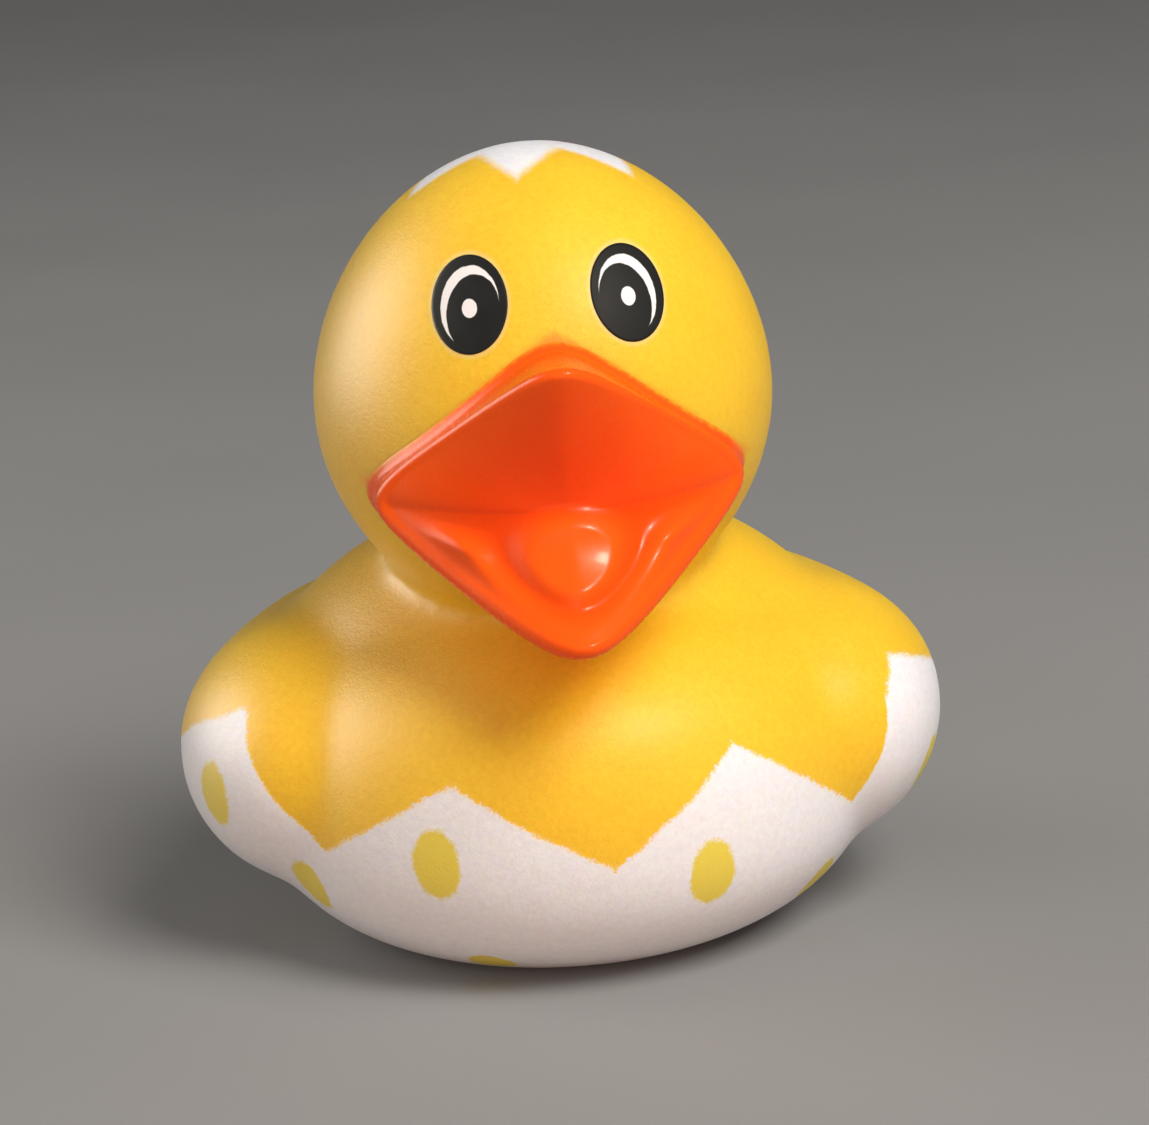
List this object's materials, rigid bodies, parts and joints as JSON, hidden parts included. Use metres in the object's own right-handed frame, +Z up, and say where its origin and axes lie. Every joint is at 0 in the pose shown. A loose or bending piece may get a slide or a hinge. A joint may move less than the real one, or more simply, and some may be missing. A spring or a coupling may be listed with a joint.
{
  "type": "rubber duck",
  "caption": "Hollow one-piece soft-vinyl bath duck with a round head, open bill, swelling wings, upturned tail and flat base.",
  "frame": {"origin": "on the base plane, under the middle of the duck's overall box", "axes": "+Z up from the base, -Y forwards along the bill, +X to the duck's left"},
  "size_m": [0.05, 0.0494, 0.0518],
  "materials": {
    "vinyl_skin": "satin yellow vinyl with sprayed white and yellow paint",
    "bill_paint": "gloss orange-red paint on vinyl",
    "eye_print": "satin black and white printed ink"
  },
  "bodies": {
    "root": {"duck_body": "vinyl_skin"}
  },
  "joints": []
}
